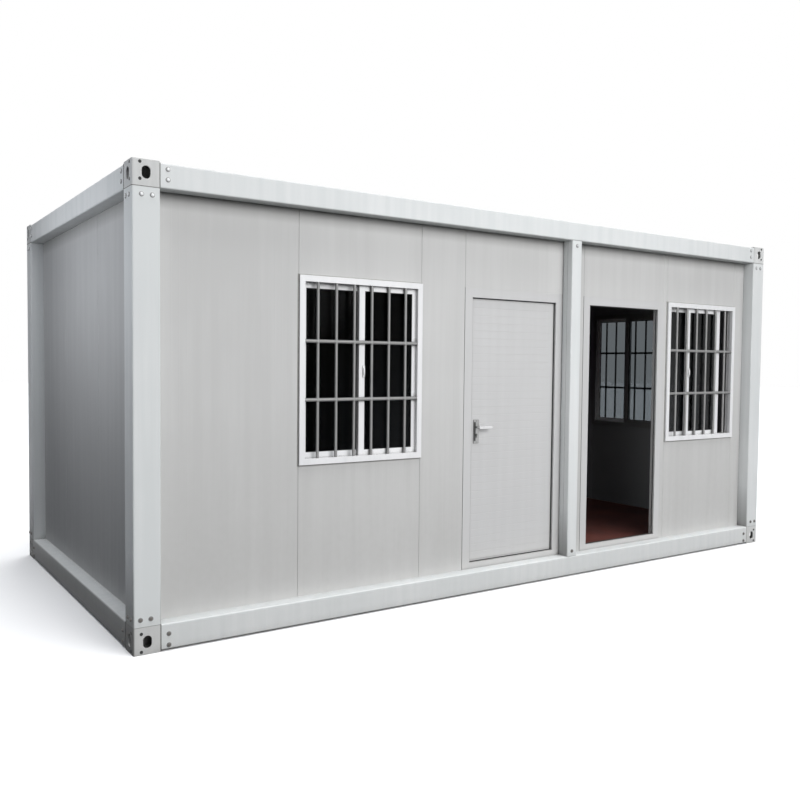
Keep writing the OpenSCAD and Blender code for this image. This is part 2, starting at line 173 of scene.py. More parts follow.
# %% Light
# A softbox has its place, the point it faces, its width and height, and its power
SOFTBOXES = {
    "front_softbox": ((-0.4, -7.2, 4.3), (-0.4, -1.4, 1.6), (5.4, 2.8), 224.0),
    "left_softbox": ((-4.25, -0.4, 2.45), (-2.9, -0.4, 2.2), (2.6, 0.6), 18.0),
    "side_softbox": ((-5.0, -5.2, 2.0), (3.8, -1.45, 1.4), (2.2, 2.4), 8.5),
}
SHADE_TINT = (0.92, 0.95, 1.0)
SIDE_SPREAD = math.radians(40)
# A sun lamp has the direction it comes from, its strength and the width of its disc in degrees
SUNS = {
    "fill_lamp": ((0.20, -0.90, 0.36), 1.5, 50),
    "top_lamp": ((0.05, -0.10, 1.0), 2.3, 40),
    "back_lamp": ((0.55, 0.65, 0.45), 1.6, 50),
}
SUN_DISTANCE = 10
SKY_SPAN = (-0.2, 0.8)
SKY_ABOVE = 0.20
SKY_BELOW = 0.03


def lamp(name, kind, place, target):
    """A lamp of a kind at a place, turned towards a target."""
    made = bpy.data.objects.new(name, bpy.data.lights.new(name, kind))
    bpy.context.scene.collection.objects.link(made)
    made.location = place
    made.rotation_mode = "QUATERNION"
    made.rotation_quaternion = (target - place).to_track_quat("-Z", "Y")
    return made.data


for name, (place, target, size, power) in SOFTBOXES.items():
    softbox = lamp(name, "AREA", Vector(place), Vector(target))
    softbox.shape = "RECTANGLE"
    softbox.size, softbox.size_y = size
    softbox.energy = power
bpy.data.lights["left_softbox"].color = SHADE_TINT
bpy.data.lights["side_softbox"].spread = SIDE_SPREAD
for name, (source, strength, disc) in SUNS.items():
    sun = lamp(name, "SUN", Vector(source) * SUN_DISTANCE, Vector())
    sun.energy = strength
    sun.angle = math.radians(disc)


def seen_directly(tree):
    """One for the rays that show a background as itself: from the eye, off a gloss or through glass."""
    path = add(tree, "LightPath", {}).outputs
    seen = path["Is Camera Ray"]
    for ray in ("Is Glossy Ray", "Is Transmission Ray"):
        seen = calc(tree, "MAXIMUM", seen, path[ray])
    return seen


world = bpy.data.worlds.new("overcast_sky")
bpy.context.scene.world = world
world.use_nodes = True
sky = world.node_tree
upward = axes(sky, add(sky, "TexCoord", {}).outputs["Generated"])["Z"]
glow = ramp(sky, upward, *SKY_SPAN, SKY_BELOW, SKY_ABOVE)
light = add(sky, "Background", {"Color": "#E2ECFF", "Strength": glow}).outputs[0]
white = add(sky, "Background", {"Color": "#FFFFFF", "Strength": 1.0}).outputs[0]
shown = add(sky, "MixShader", {0: seen_directly(sky), 1: light, 2: white}).outputs[0]
fill(sky, sky.nodes["World Output"], {"Surface": shown})

# %% [markdown]
# The floor is plain and pale, and catches the soft shadow of the house. To the eye it is white.
# For the light that bounces up from it, it is as dull as a tarred yard, because a white floor
# would light the house from below and wash out the shade under the top beams.

# %% Floor
FLOOR_HALF = 60.0
floor_bm = bmesh.new()
bmesh.ops.create_grid(floor_bm, x_segments=1, y_segments=1, size=FLOOR_HALF)
floor_mesh = bpy.data.meshes.new("studio_floor")
floor_bm.to_mesh(floor_mesh)
floor_bm.free()
studio_floor = bpy.data.objects.new("studio_floor", floor_mesh)
bpy.context.scene.collection.objects.link(studio_floor)
floor_paint = bpy.data.materials.new("studio_floor_paint")
floor_paint.use_nodes = True
floor_tree = floor_paint.node_tree
floor_tone = mix(floor_tree, seen_directly(floor_tree), "#3A3A3A", "#FAFAFA")
fill(floor_tree, floor_tree.nodes["Principled BSDF"],
     {"Base Color": floor_tone, "Roughness": 1.0, "Specular IOR Level": 0.0})
floor_mesh.materials.append(floor_paint)
print("floor", 2 * FLOOR_HALF, "m wide")

# %% [markdown]
# Most of the house is painted sheet steel that stands outdoors. Such paint isn't one flat colour:
# it clouds a little, rain draws faint streaks down it, and splashes leave dirt near the ground.
# That could be painted on by hand. Noise on the piece's own coordinates gives it on every side of
# the house. More helpers find where dirt collects at edges, which also look slightly rounded, and
# find corners and hollows, where a point sees little open air, to paint shade in them.

# %% Weather, edges and hollows
CLOUD_SCALE = 1.1
STREAK_SIZE = (0.060, 0.060, 1.5)
TONE_SPAN = (0.17, 0.34)
GRIT_SCALE = 22.0
GRIT_SPAN = (0.3, 0.7)
LEAST_SOIL = 0.7


def start_finish(name):
    """A new material with its node tree, its shader and the piece's own coordinates."""
    finish = bpy.data.materials.new(name)
    finish.use_nodes = True
    tree = finish.node_tree
    return finish, tree, tree.nodes["Principled BSDF"], add(tree, "TexCoord", {}).outputs["Object"]


def stretched(tree, place, sizes):
    """Coordinates in which noise has features of a given size along x, y and z."""
    return add(tree, "Mapping", {"Vector": place, "Scale": [1 / size for size in sizes]}).outputs[0]


def weathered(tree, place, clean, shade, dirt, dirt_top, soiling):
    """Paint that has stood in the rain: clouds, streaks, and dirt that fades out up to dirt_top."""
    clouds = noise(tree, place, CLOUD_SCALE, detail=5.0)
    streaks = noise(tree, stretched(tree, place, STREAK_SIZE), 1.0, detail=4.0)
    tone = ramp(tree, calc(tree, "MULTIPLY", clouds, streaks), *TONE_SPAN)
    near = ramp(tree, axes(tree, place)["Z"], dirt_top, 0.0)
    grit = noise(tree, place, GRIT_SCALE, detail=6.0)
    uneven = ramp(tree, grit, *GRIT_SPAN, LEAST_SOIL * soiling, soiling)
    return mix(tree, calc(tree, "MULTIPLY", near, uneven), mix(tree, tone, shade, clean), dirt)


def rounded_normal(tree, radius):
    """The normal of a shape whose edges look rounded."""
    return add(tree, "Bevel", {"Radius": radius}, samples=4).outputs[0]


def face_normal(tree):
    """The normal of the face itself."""
    return add(tree, "NewGeometry", {}).outputs["Normal"]


def open_air(tree, reach):
    """One where nothing stands within reach of a point, zero where the point is closed in."""
    return add(tree, "AmbientOcclusion", {"Distance": reach}, samples=4).outputs["AO"]


print("streaks", STREAK_SIZE[0] * 1000, "mm wide")

# %% [markdown]
# The frame is cold-formed steel with a white powder coat. The powder melts into a skin with a
# fine orange peel and a satin shine. The corner fittings are welded from thick plate under the
# same coat, so theirs is rougher and a little darker. Hollows, where a point sees little open
# air, are painted nearly black, as shade. The foot of the two ends is painted darker, as mud and
# as shade, and the upper faces at the height of the roof are painted darker, as dust and as
# shade. One function makes both coats.

# %% Frame: powder-coated steel
FRAME_EDGE = 0.006
EDGE_SPAN = (0.999, 0.90)
RUB_SCALE = 60.0
RUB_SPAN = (0.3, 1.0)
EDGE_GRIME = 0.5
END_MUD_AND_SHADE_SPAN = (0.55, 0.10)
MOST_END_MUD_AND_SHADE = 0.70
TOP_DARKER_ABOVE = 2.5
LEVEL_SPAN = (0.7, 0.95)
MOST_TOP_DUST_AND_SHADE = 0.8
HOLLOW_REACH = 0.12
HOLLOW_SPAN = (0.40, 0.05)


def powder_coat(name, clean, shade, grain, depth, roughness):
    """White powder coat: satin, with an orange peel of a given grain, dirt, and painted shade in hollows, at the
    ends' foot and on upper faces.
    """
    finish, tree, shader, place = start_finish(name)
    paint = weathered(tree, place, clean, shade, "#938B80", dirt_top=0.30, soiling=0.15)
    rounded, flat = rounded_normal(tree, FRAME_EDGE), face_normal(tree)
    same = add(tree, "VectorMath", {0: rounded, 1: flat}, operation="DOT_PRODUCT").outputs["Value"]
    wear = noise(tree, place, RUB_SCALE, detail=4.0)
    rubbed = calc(tree, "MULTIPLY", ramp(tree, same, *EDGE_SPAN), wear)
    edged = mix(tree, ramp(tree, rubbed, *RUB_SPAN, 0.0, EDGE_GRIME), paint, "#9C9C98")
    facing, height = axes(tree, flat), axes(tree, place)["Z"]
    # Faces towards the two ends are painted darker near the ground, as mud and as shade.
    low = ramp(tree, height, *END_MUD_AND_SHADE_SPAN, 0.0, MOST_END_MUD_AND_SHADE)
    end_mud_and_shade = calc(tree, "MULTIPLY", calc(tree, "ABSOLUTE", facing["X"]), low)
    ends_muddied_and_shaded = mix(tree, end_mud_and_shade, edged, "#55524E")
    # Upper faces above 2.5 m are painted darker, as dust and as shade that tones down the light from above.
    upper = ramp(tree, facing["Z"], *LEVEL_SPAN, 0.0, MOST_TOP_DUST_AND_SHADE)
    level_darkening = calc(tree, "MULTIPLY", calc(tree, "GREATER_THAN", height, TOP_DARKER_ABOVE), upper)
    level_darkened = mix(tree, level_darkening, ends_muddied_and_shaded, "#8F8B83")
    # Hollows are painted nearly black, as shade.
    hollow_shade = ramp(tree, open_air(tree, HOLLOW_REACH), *HOLLOW_SPAN)
    peel = bump(tree, noise(tree, place, 1 / grain), depth, rounded)
    fill(tree, shader, {"Base Color": mix(tree, hollow_shade, level_darkened, "#1E1D1B"), "Normal": peel,
                        "Roughness": roughness, "Specular IOR Level": 0.05})
    return finish


frame_coat = powder_coat("powder_coated_steel", "#D8DADA", "#D1D4D4",
                         grain=0.004, depth=0.0002, roughness=0.42)
# A coarser and rougher skin gives the fittings the look of thick, welded plate
fitting_coat = powder_coat("powder_coated_thick_plate", "#D3D4D3", "#C4C5C4",
                           grain=0.009, depth=0.0006, roughness=0.5)
print(frame_coat.name, "and", fitting_coat.name)

# %% [markdown]
# The walls are sandwich panels: two skins of thin steel, coated light grey in the coil before
# they are rolled, on an insulating core. Rolling leaves shallow upright ribs every few
# centimetres, and the thin skin is never quite flat. The ribs could be modelled, but they are a
# fraction of a millimetre deep, so bump shows them better. They run along x + y, which grows along
# the front and along the ends alike. Right under the beam, a darker band is painted as the beam's
# shadow. Towards the ground the wall gets darker, as dirt and as painted shade, and in the room it
# is painted darker still, as the shade of the closed room.

# %% Walls: coil-coated sheet
RIB_PITCH = 0.0475
RIB_DEPTH = 0.00014
RIB_FLANK = (0.80, 0.98)
DENT_SCALE = 2.2
DENT_DEPTH = 0.0025
LINING_INSET = 0.145
WALL_HEAD = 2.65
HEAD_BAND = 0.10
BAND_SHADE = 0.5


def inside_room(tree, parts):
    """One on the faces that line the room, zero on those that face outwards."""
    inside = 1.0
    for axis, length in (("X", house_size.x), ("Y", house_size.y)):
        near = calc(tree, "LESS_THAN", calc(tree, "ABSOLUTE", parts[axis]), length / 2 - LINING_INSET)
        inside = calc(tree, "MULTIPLY", inside, near)
    return inside


def coil_coat(name, clean, shade, lining_and_room_shade, ribs):
    """Coil coat with ribs and dents, darker to the floor as dirt and shade, a painted shadow under the top beam,
    and the lining tone in the room.
    """
    finish, tree, shader, place = start_finish(name)
    # Dirt and painted shade: the coat is painted darker towards the floor, fading out at 1.5 m.
    outside = weathered(tree, place, clean, shade, "#8A8780", dirt_top=1.5, soiling=0.20)
    parts = axes(tree, place)
    # A band right under the top beam is painted darker, as the beam's shadow.
    beam_shadow = ramp(tree, parts["Z"], WALL_HEAD - HEAD_BAND, WALL_HEAD, 0.0, BAND_SHADE)
    # Faces in the room take the lining tone, which on walls and ceiling is painted shade of the closed room.
    paint = mix(tree, inside_room(tree, parts), mix(tree, beam_shadow, outside, "#4A4A48"), lining_and_room_shade)
    along = calc(tree, "ADD", parts["X"], parts["Y"])
    wave = calc(tree, "SINE", calc(tree, "MULTIPLY", along, 2 * math.pi / RIB_PITCH))
    flank = ramp(tree, wave, *RIB_FLANK, 0.0, ribs, interpolation_type="SMOOTHSTEP")
    waves = noise(tree, place, DENT_SCALE, detail=1.0)
    dents = bump(tree, waves, DENT_DEPTH, bump(tree, flank, RIB_DEPTH))
    fill(tree, shader, {"Base Color": paint, "Normal": dents, "Roughness": 0.48, "Specular IOR Level": 0.0})
    return finish


panel_coat = coil_coat("coil_coated_sheet", "#C6C6C5", "#C1C1C0", "#7E8082", ribs=1.0)
print("ribs every", RIB_PITCH * 1000, "mm")

# %% [markdown]
# The doors are steel too, painted in nearly the same grey as the walls. Their pressed lines are
# real shapes and come later as pieces. The windows are white aluminium: smoother, cleaner and
# brighter. Both have a little dust on the level faces, where rain lets it settle, and their
# corners are painted darker, as shade. In the room, the windows are painted dark grey, as shade.

# %% Doors and windows: smooth paint
SMOOTH_EDGE = 0.003
SPECK_SCALE = 70.0
SPECK_SPAN = (0.3, 0.7)
CORNER_REACH = 0.03
CORNER_SPAN = (0.80, 0.35)
MOST_CORNER_SHADE = 0.7


def smooth_paint(name, clean, shade, lining_and_room_shade, roughness, dust):
    """A smooth paint, with dust on level faces, painted shade in corners, and a darker tone in the room painted as
    shade.
    """
    finish, tree, shader, place = start_finish(name)
    paint = weathered(tree, place, clean, shade, "#9A9488", dirt_top=0.40, soiling=0.25)
    # In the room, the paint takes the darker lining tone, as painted shade.
    if lining_and_room_shade:
        paint = mix(tree, inside_room(tree, axes(tree, place)), paint, lining_and_room_shade)
    up = axes(tree, face_normal(tree))["Z"]
    level_darkening = calc(tree, "MULTIPLY", up, noise(tree, place, SPECK_SCALE, detail=5.0))
    level_darkened = mix(tree, ramp(tree, level_darkening, *SPECK_SPAN, 0.0, dust), paint, "#8C8880")
    # Corners, where a point sees little open air, are painted darker, as shade.
    corner = ramp(tree, open_air(tree, CORNER_REACH), *CORNER_SPAN, 0.0, MOST_CORNER_SHADE)
    fill(tree, shader, {"Base Color": mix(tree, corner, level_darkened, "#4E4D4A"),
                        "Normal": rounded_normal(tree, SMOOTH_EDGE), "Roughness": roughness})
    return finish


door_paint = smooth_paint("painted_steel_door", "#BEBEBE", "#BBBBBB", None, roughness=0.40, dust=0.5)
# The last colour is the dark grey that the windows are painted in the room, as shade.
window_paint = smooth_paint("white_coated_aluminium", "#E0E0E1", "#D8D9DA", "#6A6A6A",
                            roughness=0.35, dust=0.35)
print(door_paint.name, "and", window_paint.name)

# %% [markdown]
# The panes are tinted float glass. From outside they look almost black, because the room behind
# is dark and light has to pass the tint on its way in and on its way out. A black paint would do
# that in one view, but then the far window couldn't be seen through the doorway. So the glass
# really lets light through. Fine dust keeps it from being a perfect mirror.

# %% Glass: tinted float glass
FILM_SCALE = 9.0
FILM_SPAN = (0.35, 0.75)
CLEAREST, HAZIEST = 0.02, 0.10
glass, glass_tree, glass_shader, glass_place = start_finish("tinted_float_glass")
film = noise(glass_tree, glass_place, FILM_SCALE, detail=6.0)
haze = ramp(glass_tree, film, *FILM_SPAN, CLEAREST, HAZIEST)
fill(glass_tree, glass_shader, {"Base Color": "#5E6366", "Roughness": haze, "Transmission Weight": 1.0,
                                "IOR": 1.45, "Specular Tint": "#2C2C2C"})
print(glass.name)

# %% [markdown]
# Bare metal comes in six kinds. The guard bars are drawn steel tube with a dull zinc skin, streaked
# along their length. Bolts, hinges and screws are zinc plated, and mud has darkened those near the
# ground. The levers are polished stainless steel, their plates are brushed, and the locks are
# nickel plated. Each has its own grain, so one function takes the grain's size along the three
# axes. The joists and purlins are hot-dip galvanised, with the flat crystals of zinc, called
# spangle, which need a pattern of cells.

# %% Metals
GRAIN_DEPTH = 0.0001
DULLER, SHINIER = 0.12, 0.08
SPANGLE = 0.014


def metal(name, light_tone, dark_tone, grain, roughness, metallic, soiled=0.0):
    """A metal whose tone and shine vary with a grain along x, y and z; dark with soil below a height."""
    finish, tree, shader, place = start_finish(name)
    grains = noise(tree, stretched(tree, place, grain), 1.0, detail=3.0)
    low = calc(tree, "LESS_THAN", axes(tree, place)["Z"], soiled)
    colour = mix(tree, low, mix(tree, grains, dark_tone, light_tone), "#5A5652")
    shine = ramp(tree, grains, 0.0, 1.0, roughness + DULLER, roughness - SHINIER)
    fill(tree, shader, {"Base Color": colour, "Roughness": shine, "Metallic": metallic,
                        "Normal": bump(tree, grains, GRAIN_DEPTH)})
    return finish


bar_zinc = metal("dull_zinc_tube", "#8A8A89", "#6C6C6C",
                 grain=(0.006, 0.006, 0.15), roughness=0.5, metallic=0.45)
plated = metal("zinc_plated_steel", "#C9CBCC", "#B2B4B5",
               grain=(0.004, 0.004, 0.004), roughness=0.45, metallic=0.2, soiled=0.4)
lever_steel = metal("polished_stainless_steel", "#DADADA", "#B4B4B4",
                    grain=(0.03, 0.03, 0.0006), roughness=0.2, metallic=1.0)
handle_steel = metal("brushed_stainless_steel", "#A2A2A1", "#757575",
                     grain=(0.0006, 0.0006, 0.03), roughness=0.34, metallic=1.0)
lock_steel = metal("dark_nickel_plating", "#5C5C5A", "#3E3E3D",
                   grain=(0.002, 0.002, 0.002), roughness=0.35, metallic=0.4)

galvanised, zinc_tree, zinc_shader, zinc_place = start_finish("galvanised_steel")
crystals = add(zinc_tree, "TexVoronoi", {"Vector": zinc_place, "Scale": 1 / SPANGLE}).outputs["Color"]
pale = axes(zinc_tree, crystals)["X"]
fill(zinc_tree, zinc_shader, {"Base Color": mix(zinc_tree, pale, "#8F9394", "#B4B8B9"),
                              "Roughness": ramp(zinc_tree, pale, 0.0, 1.0, 0.6, 0.4), "Metallic": 0.8})
print("spangle of", SPANGLE * 1000, "mm")

# %% [markdown]
# Inside, a red-brown vinyl sheet lies on the floor boards. It is matt, mottled by feet and
# lightly grained. The ceiling is white sheet with shallower ribs than the walls have, painted
# grey in the room as shade. On the roof, coated sheet of the same kind has gathered dust in
# patches.

# %% Floor, ceiling and roof
STEP_SCALE = 3.0
STEP_SPAN = (0.3, 0.7)
PORE_SCALE = 400.0
PORE_DEPTH = 0.0002
vinyl, vinyl_tree, vinyl_shader, vinyl_place = start_finish("red_brown_vinyl")
mottle = ramp(vinyl_tree, noise(vinyl_tree, vinyl_place, STEP_SCALE, detail=7.0), *STEP_SPAN)
pores = bump(vinyl_tree, noise(vinyl_tree, vinyl_place, PORE_SCALE), PORE_DEPTH)
fill(vinyl_tree, vinyl_shader, {"Base Color": mix(vinyl_tree, mottle, "#4A2620", "#6B3A31"),
                                "Normal": pores, "Roughness": 0.55})

ceiling_coat = coil_coat("white_ceiling_sheet", "#DCDCDA", "#D2D2D0", "#A6A6A4", ribs=0.6)
roof_coat = coil_coat("coated_roof_sheet", "#C9CBCB", "#A9A8A2", "#B9BAB8", ribs=0.0)
print(vinyl.name, ceiling_coat.name, roof_coat.name)

# %% [markdown]
# Rubber seals the glass and the doors, and a bead of silicone closes the gap round each frame.
# Rubber is nearly black and dull, with a fine grain. The strips in the frame's joints have bleached
# to grey. Silicone has a slight shine, its bead is never quite even, and it holds grime.

# %% Rubber and silicone
def moulded(name, light_tone, dark_tone, grain, depth, roughness):
    """A soft moulded material with a mottled tone and an uneven skin."""
    finish, tree, shader, place = start_finish(name)
    lumps = noise(tree, place, 1 / grain, detail=3.0)
    fill(tree, shader, {"Base Color": mix(tree, lumps, dark_tone, light_tone),
                        "Normal": bump(tree, lumps, depth), "Roughness": roughness})
    return finish


rubber = moulded("black_rubber", "#1C1C1C", "#0E0E0E", grain=0.003, depth=0.0002, roughness=0.7)
seam_rubber = moulded("grey_joint_rubber", "#8E8E8A", "#4A4A48",
                      grain=0.012, depth=0.0006, roughness=0.8)
silicone = moulded("grimy_silicone", "#A6A5A1", "#7E7D79", grain=0.03, depth=0.001, roughness=0.5)
print(rubber.name, seam_rubber.name, silicone.name)

# %% [markdown]
# The record says which finish each solid takes, so the finishes are handed out by its slots. Only
# the corner fittings have their own, rougher coat.

# %% Hand out the finishes
finishes = {
    "frame_white": frame_coat, "galvanised": galvanised, "floor_brown": vinyl, "roof_paint": roof_coat,
    "ceiling_white": ceiling_coat, "panel_grey": panel_coat, "window_white": window_paint,
    "dark_glass": glass, "door_white": door_paint, "hinge_steel": plated, "handle_plate": handle_steel,
    "lever_steel": lever_steel,
}
own_finish = {"bottom_corner_fittings": fitting_coat, "top_corner_fittings": fitting_coat}
for row in frame["record"]["subparts"]:
    finish = own_finish.get(row["node"], finishes[row["material_slot"]])
    for slot in nodes[row["node"]].material_slots:
        slot.material = finish

# %% [markdown]
# The house has four sides that are built alike. It is easiest to place a piece as seen from
# outside: x from the side's left corner, y inwards and z up. One matrix for each side then puts
# the piece in the house's own frame. The same view of a solid's box tells where things go.

# %% The four sides
SIDES = ("front", "right", "back", "left")
CORNERS = ((-1, -1), (1, -1), (1, 1), (-1, 1))


def side_place(side):
    """The matrix from a side's own view to the frame of the house."""
    turns = SIDES.index(side)
    x, y = CORNERS[turns]
    corner = Matrix.Translation((x * house_size.x / 2, y * house_size.y / 2, 0))
    return corner @ Matrix.Rotation(turns * math.pi / 2, 4, "Z")


def side_length(side):
    """The length of a side, over the corner fittings."""
    return house_size.x if side in ("front", "back") else house_size.y


def seen_box(points, side):
    """The lowest and highest corner of some points, as seen from a side."""
    turned_back = side_place(side).inverted()
    local = [turned_back @ p for p in points]
    low = Vector([min(p[i] for p in local) for i in range(3)])
    high = Vector([max(p[i] for p in local) for i in range(3)])
    return low, high


wall_face = seen_box(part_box("front_wall_panel"), "front")[0].y
print("the walls lie", round(wall_face * 1000), "mm behind the frame")

# %% [markdown]
# A few small helpers make most shapes: a slab with rounded edges, a round rod between two points,
# a shape turned on a lathe, and a flat border round an opening. Each uses Blender's own mesh
# operators. Copies of a finished shape are stamped into one mesh, so that all the bolts of a side
# are one piece. A last helper turns a mesh into a piece that rides on a body of the house.

# %% Shape helpers
SHARP_ANGLE = 32


def round_off(bm, edges, radius, segments=2):
    """Rounds some edges of a working mesh."""
    bmesh.ops.bevel(bm, geom=edges, offset=radius, affect="EDGES", segments=segments, profile=0.5,
                    material=-1)


def slab(bm, low, high, edge=0.0):
    """A box between two corners, with edges rounded by the given radius."""
    place = Matrix.Translation((low + high) / 2) @ Matrix.Diagonal((*(high - low), 1))
    made = bmesh.ops.create_cube(bm, size=1, matrix=place)["verts"]
    if edge:
        round_off(bm, list({e for v in made for e in v.link_edges}), edge)


def rod(bm, start, end, radius, sides=20):
    """A round rod from one point to another."""
    along = end - start
    place = Matrix.Translation((start + end) / 2) @ along.to_track_quat("Z", "Y").to_matrix().to_4x4()
    bmesh.ops.create_cone(bm, cap_ends=True, segments=sides, radius1=radius, radius2=radius,
                          depth=along.length, matrix=place)


def turned(bm, outline, steps=24):
    """Turns an outline of radius and height about the z axis, as a lathe does."""
    points = [bm.verts.new((radius, 0, height)) for radius, height in outline]
    edges = [bm.edges.new(pair) for pair in zip(points, points[1:])]
    bmesh.ops.spin(bm, geom=points + edges, cent=(0, 0, 0), axis=(0, 0, 1), angle=2 * math.pi,
                   steps=steps, use_merge=True)
    bmesh.ops.remove_doubles(bm, verts=bm.verts, dist=1e-6)


def border(bm, low, high, width, depth):
    """A flat frame inside the rectangle low to high, of a given width, that reaches depth inwards."""
    corners = ((low.x, low.z), (high.x, low.z), (high.x, high.z), (low.x, high.z))
    sheet = bm.faces.new([bm.verts.new((x, low.y, z)) for x, z in corners])
    sheet.normal_update()
    rim = bmesh.ops.inset_region(bm, faces=[sheet], thickness=width, use_boundary=True)["faces"]
    bmesh.ops.delete(bm, geom=[sheet], context="FACES")
    grown = bmesh.ops.extrude_face_region(bm, geom=rim)["geom"]
    ends = [v for v in grown if isinstance(v, bmesh.types.BMVert)]
    bmesh.ops.translate(bm, verts=ends, vec=(0, depth, 0))


def shape_mesh(name, bm, sharp=SHARP_ANGLE):
    """Closes a working mesh: its faces point outwards, and edges over the angle sharp stay sharp."""
    bmesh.ops.recalc_face_normals(bm, faces=bm.faces)
    mesh = bpy.data.meshes.new(name)
    bm.to_mesh(mesh)
    bm.free()
    mesh.shade_smooth()
    mesh.set_sharp_from_angle(angle=math.radians(sharp))
    return mesh


def lathe_shape(name, outline, steps):
    """A finished shape that is only turned on the lathe."""
    bm = bmesh.new()
    turned(bm, outline, steps)
    return shape_mesh(name, bm)


def stamp(bm, shape, places):
    """Copies a finished shape into a working mesh at each place."""
    for place in places:
        placed = shape.copy()
        placed.transform(place)
        bm.from_mesh(placed)
        bpy.data.meshes.remove(placed)


def piece(name, bm, finish, body="house", place=None, sharp=SHARP_ANGLE):
    """Makes a working mesh a piece of the house, in its place, with a finish, on a body."""
    if place is not None:
        bmesh.ops.transform(bm, matrix=place, verts=bm.verts)
    mesh = shape_mesh(name, bm, sharp)
    mesh.materials.append(finish)
    made = bpy.data.objects.new(name, mesh)
    bpy.context.scene.collection.objects.link(made)
    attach(made, body)
    print(name, len(mesh.polygons), "faces")


print("helpers ready")

# %% [markdown]
# Each window has guard bars: six upright tubes that pass through two thicker level tubes. They
# stand in the front lip of the frame, with their ends let into it. A lattice could be one grid of
# boxes, but round tubes catch the light from above as the real ones do. Where tubes cross, a small
# weld collar joins them.

# %% Guard bars
WINDOWS = {"left": "front", "right": "front", "end": "right"}
WINDOW_FACE = 0.040
WINDOW_LIP = 0.026
UPRIGHTS = 6
UPRIGHT_PITCH = 0.137
UPRIGHT_RADIUS = 0.010
LEVEL_HEIGHTS = (1.435, 1.815)
LEVEL_RADIUS = 0.0115
LET_IN = 0.004
# The outline of a weld collar: how far it stands out from the tube, and how high
COLLAR = ((0.0, -0.0145), (0.0025, -0.012), (0.0035, 0.0), (0.0025, 0.012), (0.0, 0.0145))

collar_outline = [(UPRIGHT_RADIUS + out, height) for out, height in COLLAR]
collar_ends = [(0.0, COLLAR[0][1]), (0.0, COLLAR[-1][1])]
collar = lathe_shape("weld_collar", collar_ends[:1] + collar_outline + collar_ends[1:], steps=14)

for name, side in WINDOWS.items():
    low, high = seen_box(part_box(name + "_window_frame"), side)
    middle = (low.x + high.x) / 2
    depth = low.y + WINDOW_LIP / 2
    foot, head = low.z + WINDOW_FACE - LET_IN, high.z - WINDOW_FACE + LET_IN
    bars = bmesh.new()
    rows = [middle + (k - (UPRIGHTS - 1) / 2) * UPRIGHT_PITCH for k in range(UPRIGHTS)]
    for x in rows:
        rod(bars, Vector((x, depth, foot)), Vector((x, depth, head)), UPRIGHT_RADIUS)
    left_end, right_end = low.x + WINDOW_FACE - LET_IN, high.x - WINDOW_FACE + LET_IN
    for z in LEVEL_HEIGHTS:
        rod(bars, Vector((left_end, depth, z)), Vector((right_end, depth, z)), LEVEL_RADIUS)
    stamp(bars, collar, [Matrix.Translation((x, depth, z)) for x in rows for z in LEVEL_HEIGHTS])
    piece(name + "_window_bars", bars, bar_zinc, place=side_place(side))

# %% [markdown]
# A pane sits in a groove of its sash, and a black gasket fills the corner between the glass and
# the sash, on both faces. The two panes of a window share one node, one behind the other, so the
# depth tells which pane a point belongs to. The gasket is then a border round each pane's clear
# part.

# %% Glazing gaskets
GLASS_SEAT = 0.0097
GASKET_WIDTH = 0.005
GASKET_DEPTH = 0.004


def panes(node, side):
    """The boxes of a window's front and rear pane, as seen from its side."""
    points = [v.co for v in nodes[node].data.vertices]
    turned_back = side_place(side).inverted()
    near, far = seen_box(points, side)
    split = (near.y + far.y) / 2
    front = [p for p in points if (turned_back @ p).y < split]
    rear = [p for p in points if (turned_back @ p).y >= split]
    return seen_box(front, side), seen_box(rear, side)


for name, side in WINDOWS.items():
    gaskets = bmesh.new()
    for low, high in panes(name + "_window_glass", side):
        inset = Vector((GLASS_SEAT, 0, GLASS_SEAT))
        for y in (low.y - GASKET_DEPTH, high.y):
            start, end = low + inset, high - inset
            start.y = y
            border(gaskets, start, end, GASKET_WIDTH, GASKET_DEPTH)
    piece(name + "_window_gaskets", gaskets, rubber, place=side_place(side))

# %% [markdown]
# The front sash has a latch on its meeting stile, at half height: a white plate with a finger
# pull. Round the frame, a bead of silicone closes the joint with the wall. On a real bead a finger
# has smoothed the corner, so the border's outer edge is rounded.

# %% Latches and sealant
LATCH_SIZE = Vector((0.018, 0.006, 0.080))
LATCH_HEIGHT = 1.62
LATCH_EDGE = 0.0025
PULL_HALF = Vector((0.006, 0, 0.022))
PULL_FRONT = Vector((0, 0.013, 0))
PULL_BACK = Vector((0, 0.004, 0))
PULL_EDGE = 0.002
BEAD_WIDTH = 0.007
BEAD_DEPTH = 0.005
BEAD_ROUND = 0.004
NEAR_ENOUGH = 1e-5

